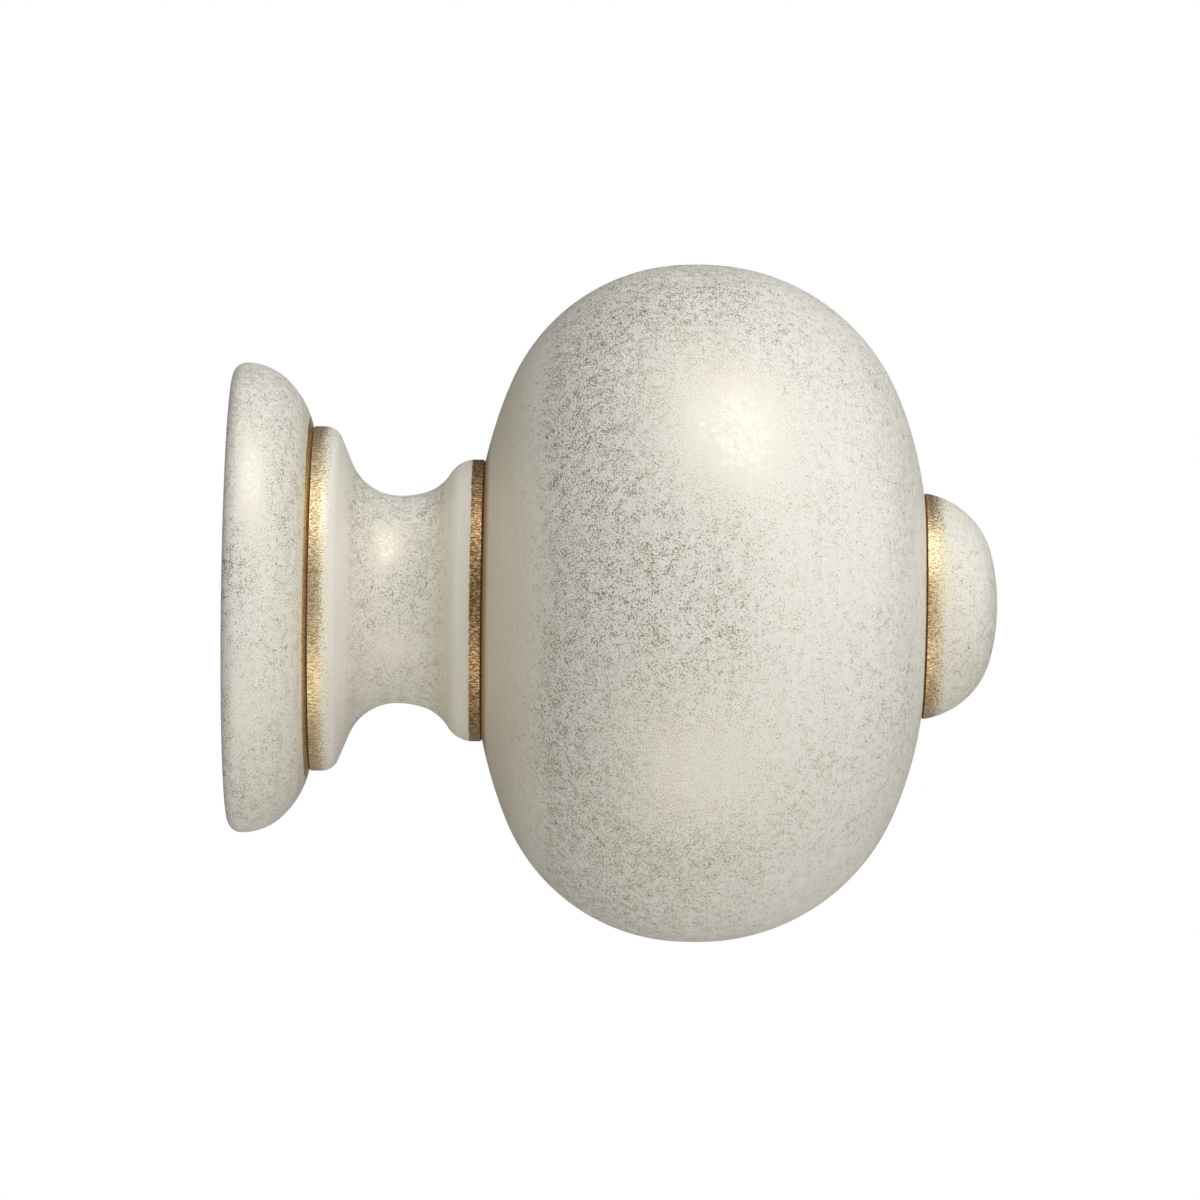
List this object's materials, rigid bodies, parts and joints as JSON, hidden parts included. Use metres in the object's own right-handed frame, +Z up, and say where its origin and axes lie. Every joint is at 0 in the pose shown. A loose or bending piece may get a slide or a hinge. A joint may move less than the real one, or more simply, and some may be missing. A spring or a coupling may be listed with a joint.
{
  "type": "curtain pole finial",
  "caption": "Turned wooden finial for the end of a curtain pole: rounded flange, hollowed neck, squashed ball and domed button, with a blind screw hole in its flat back.",
  "frame": {"origin": "centre of the flat back face, at the mouth of the screw hole", "axes": "+X along the turning axis from the pole towards the button, +Z up as fitted on a level pole"},
  "size_m": [0.0905, 0.08, 0.08],
  "materials": {
    "painted_wood": "satin antique cream paint, flecked, with gold in the inner corners"
  },
  "bodies": {
    "root": {"finial": "painted_wood"}
  },
  "joints": []
}
